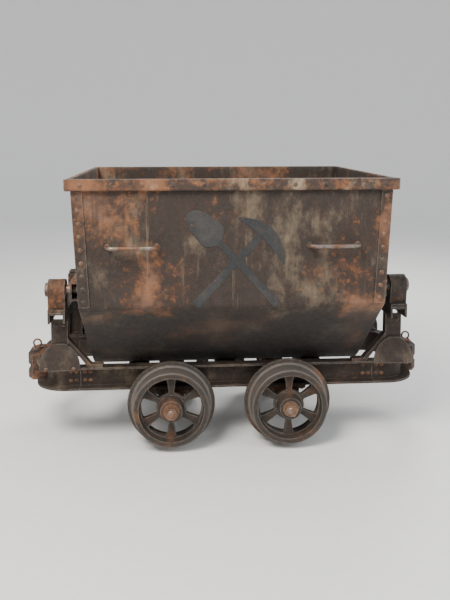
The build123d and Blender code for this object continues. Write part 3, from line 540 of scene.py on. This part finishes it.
def painted_mark():
    """A plain crossed pickaxe and shovel in old dark paint."""
    bm = bmesh.new()

    def handle(share):
        return 0.0125 + 0.003 * share

    def pick(share):
        return 0.003 + 0.021 * sin(pi * share) ** 0.8

    def blade(share):
        shoulder = sin(min(1.0, share * 4) * pi / 2)
        point = (1 - max(0.0, (share - 0.4) / 0.6) ** 2.4) ** 0.5
        return 0.012 + 0.040 * shoulder * point - 0.010 * share

    painted_strip(bm, (0.095, 0.105), (-0.145, -0.155), handle, PAINT_LIFT)
    painted_strip(bm, (-0.075, 0.085), (0.145, -0.155), handle, PAINT_LIFT * 2.0)
    painted_strip(bm, (0.005, 0.155), (0.165, -0.008), pick, PAINT_LIFT * 3.0, bend=0.034)
    painted_strip(bm, (-0.060, 0.068), (-0.168, 0.176), blade, PAINT_LIFT * 3.0)
    bmesh.ops.recalc_face_normals(bm, faces=bm.faces[:])
    for face in bm.faces:
        if face.normal.y > 0:
            face.normal_flip()
    piece = new_piece("painted_mark", bm, mark_paint(), "tub")
    thicken(piece, PAINT_THICK)


def mark_paint():
    """Old dark paint that has chipped and rusted through in spots."""
    n = Nodes("old_mark_paint")
    chips = n.clouds(75.0, 8.0, 0.7)
    fade_out = n.clouds(9.0, 5.0, 0.6)
    colour = n.mix(n.level(fade_out, 0.4, 0.7), (0.016, 0.017, 0.018), (0.040, 0.036, 0.033))
    colour = n.mix(n.level(chips, 0.60, 0.68), colour, RUST_MID)
    return n.finish(colour, n.level(chips, 0.3, 0.7, 0.55, 0.85), 0.0, n.bump(chips, 0.001))


# ---------------------------------------------------------------- welds
WELD_SIDES = 8
BEAM_WELD_RADIUS = 0.0038
FOOT_WELD_RADIUS = 0.0035
WELD_INSET = 0.004           # a bead stops this far from the ends of what it joins
POST_FOOT = 0.010            # thickness of a post's foot plate
POST_WELD_HALF = 0.034
HANDLE_X = 0.395             # middle of a grab handle
HANDLE_Z = 0.9
HANDLE_HALF = 0.096          # from the middle of a handle to each leg
HANDLE_RING = 0.0095
HANDLE_RING_POINTS = 22


def weld_bead(name, points, radius, body):
    """A lumpy weld bead along a line of points."""
    bm = bmesh.new()
    rows = []
    points = [Vector(p) for p in points]
    for i, point in enumerate(points):
        ahead = points[min(i + 1, len(points) - 1)] - points[max(i - 1, 0)]
        ahead.normalize()
        side = ahead.orthogonal().normalized()
        up = ahead.cross(side)
        size = radius * (1 + 0.22 * sin(i * 1.9) + 0.15 * noise.noise(point * 180))
        if i in (0, len(points) - 1):
            size *= 0.3
        rows.append([
            point + (side * cos(2 * pi * j / WELD_SIDES) + up * sin(2 * pi * j / WELD_SIDES)) * size
            for j in range(WELD_SIDES)
        ])
    made = [[bm.verts.new(p) for p in row] for row in rows]
    for first, second in zip(made, made[1:]):
        for j in range(WELD_SIDES):
            k = (j + 1) % WELD_SIDES
            bm.faces.new((first[j], first[k], second[k], second[j]))
    bm.faces.new(list(reversed(made[0])))
    bm.faces.new(made[-1])
    bmesh.ops.recalc_face_normals(bm, faces=bm.faces[:])
    new_piece(name, bm, MATERIALS["fastener"], body)


def line_points(start, end, step=0.004):
    """Evenly spaced points from start to end."""
    start, end = Vector(start), Vector(end)
    count = max(2, round((end - start).length / step))
    return [start + (end - start) * i / count for i in range(count + 1)]


def beam_welds(end_name, end):
    """Beads along the upper and lower edge of the beam on one end plate."""
    for z in (BEAM_LOW[2], BEAM_HIGH[2]):
        x = end * (end_x(z) + 0.001)
        line = line_points((x, BEAM_LOW[1] + WELD_INSET, z), (x, BEAM_HIGH[1] - WELD_INSET, z))
        weld_bead(f"beam_weld_{end_name}_{round(z * 1000)}", line, BEAM_WELD_RADIUS, "tub")


def post_weld(end_name, side_name, side):
    """A bead across the outer edge of a post where it stands on its foot plate."""
    low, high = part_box(f"stand_post_{side_name}_{end_name}")
    foot_z = low[2] + POST_FOOT
    middle_x = (low[0] + high[0]) / 2
    y = high[1] - 0.005 if side > 0 else low[1] + 0.005
    line = line_points((middle_x - POST_WELD_HALF, y, foot_z), (middle_x + POST_WELD_HALF, y, foot_z))
    weld_bead(f"post_weld_{side_name}_{end_name}", line, FOOT_WELD_RADIUS, "chassis")


def handle_welds(end, side):
    """A ring of weld round each of the two legs of one grab handle."""
    for leg in (-HANDLE_HALF, HANDLE_HALF):
        x = end * HANDLE_X + leg
        y = side * (side_y(HANDLE_Z) + 0.001)
        turns = [2 * pi * i / HANDLE_RING_POINTS for i in range(HANDLE_RING_POINTS + 1)]
        ring = [(x + HANDLE_RING * cos(turn), y, HANDLE_Z + HANDLE_RING * sin(turn)) for turn in turns]
        name = f"handle_weld_{end}_{side}_{leg}".replace("-", "m").replace(".", "p")
        weld_bead(name, ring, FOOT_WELD_RADIUS, "tub")


def welds():
    """All weld beads on the tub and the stands."""
    for end_name, end in (("left", -1), ("right", 1)):
        beam_welds(end_name, end)
        for side_name, side in (("front", -1), ("rear", 1)):
            post_weld(end_name, side_name, side)
    for end in (-1, 1):
        for side in (-1, 1):
            handle_welds(end, side)


# ---------------------------------------------------------------- carried-over CAD nodes
BEVEL_WIDTHS = {"fastener": 0.0008, "casting": 0.0022, "cast_wheel": 0.0025, "worn_bar": 0.001}
USUAL_BEVEL = 0.0015
BEVEL_ANGLE = radians(38)


def dress_cad_nodes():
    """Gives each kept CAD node its material and softened edges."""
    for name, node in frame["nodes"].items():
        slot = SLOTS[name]
        node.data.materials.clear()
        node.data.materials.append(MATERIALS[slot])
        edge = node.modifiers.new("edge", "BEVEL")
        edge.width = BEVEL_WIDTHS.get(slot, USUAL_BEVEL)
        edge.segments = 2
        edge.limit_method = "ANGLE"
        edge.angle_limit = BEVEL_ANGLE
        edge.harden_normals = False


# ---------------------------------------------------------------- floor, light and camera
FLOOR_RADIUS = 8.0
FLOOR_SEGMENTS = 96
COVE_RADIUS = 5.0
COVE_STEPS = 16
WALL_TOP = 9.0
FLOOR_COLOUR = (0.84, 0.83, 0.81)
SKY_COLOUR = (0.86, 0.9, 0.95, 1)
SKY_STRENGTH = 0.9
LAMP_TARGET = Vector((0, 0, 0.55))


def plain_material(name, colour, roughness):
    """A matt, almost even surface."""
    n = Nodes(name)
    grain = n.clouds(30.0, 4.0, 0.6)
    shade = n.mix(n.level(grain, 0.3, 0.7), colour, tuple(channel * 0.97 for channel in colour))
    return n.finish(shade, roughness, 0.0, n.bump(grain, 0.0003))


def floor():
    """A round pale floor that curves up into a pale wall."""
    bm = bmesh.new()
    profile = [(0.0, 0.0), (FLOOR_RADIUS / 2, 0.0)]
    for i in range(COVE_STEPS + 1):
        angle = pi / 2 * i / COVE_STEPS
        profile.append((FLOOR_RADIUS + COVE_RADIUS * sin(angle), COVE_RADIUS * (1 - cos(angle))))
    profile.append((FLOOR_RADIUS + COVE_RADIUS, WALL_TOP))
    rows = []
    for i in range(FLOOR_SEGMENTS + 1):
        turn = 2 * pi * i / FLOOR_SEGMENTS
        rows.append([(radius * cos(turn), radius * sin(turn), z) for radius, z in profile])
    grid_faces(bm, rows)
    bmesh.ops.remove_doubles(bm, verts=bm.verts[:], dist=0.0001)
    bmesh.ops.recalc_face_normals(bm, faces=bm.faces[:])
    stage = mesh_object("floor", bm, plain_material("pale_floor", FLOOR_COLOUR, 0.8))


def sky():
    """An even, slightly blue sky."""
    world = bpy.data.worlds.new("studio")
    world.use_nodes = True
    background = world.node_tree.nodes["Background"]
    background.inputs["Color"].default_value = SKY_COLOUR
    background.inputs["Strength"].default_value = SKY_STRENGTH
    bpy.context.scene.world = world


def area_light(name, place, size, power, colour):
    """A round soft lamp that points at the cart."""
    light = bpy.data.lights.new(name, "AREA")
    light.shape = "DISK"
    light.size = size
    light.energy = power
    light.color = colour
    lamp = bpy.data.objects.new(name, light)
    lamp.location = place
    lamp.rotation_euler = (LAMP_TARGET - lamp.location).to_track_quat("-Z", "Y").to_euler()
    bpy.context.scene.collection.objects.link(lamp)


def studio():
    """Floor, sky and three soft lamps."""
    floor()
    sky()
    area_light("key", (-1.9, -3.0, 4.2), 2.2, 330, (1.0, 0.96, 0.9))
    area_light("fill", (3.2, -2.6, 2.0), 2.0, 60, (0.9, 0.95, 1.0))
    area_light("back", (1.5, 3.0, 3.6), 2.0, 110, (1.0, 0.98, 0.95))


CAMERA_PLACE = (-0.234, -3.194, 1.334)
FOCAL_PIXELS = 700.0
FRAME_TALL = 600.0
SENSOR = 36.0
LENS_SHIFT = -0.17
LOOK_DOWN = radians(5.2)
LOOK_RIGHT = radians(4.2)


def camera():
    """Camera in front of the cart and a little left of its middle, just above the rim."""
    data = bpy.data.cameras.new("camera")
    data.sensor_fit = "AUTO"
    data.sensor_width = SENSOR
    data.lens = SENSOR * FOCAL_PIXELS / FRAME_TALL
    data.shift_y = LENS_SHIFT
    cam = bpy.data.objects.new("camera", data)
    cam.location = CAMERA_PLACE
    cam.rotation_euler = (pi / 2 - LOOK_DOWN, 0, -LOOK_RIGHT)
    bpy.context.scene.collection.objects.link(cam)
    bpy.context.scene.camera = cam


camera()
dress_cad_nodes()
tub_trough()
end_plates()
painted_mark()
welds()
studio()
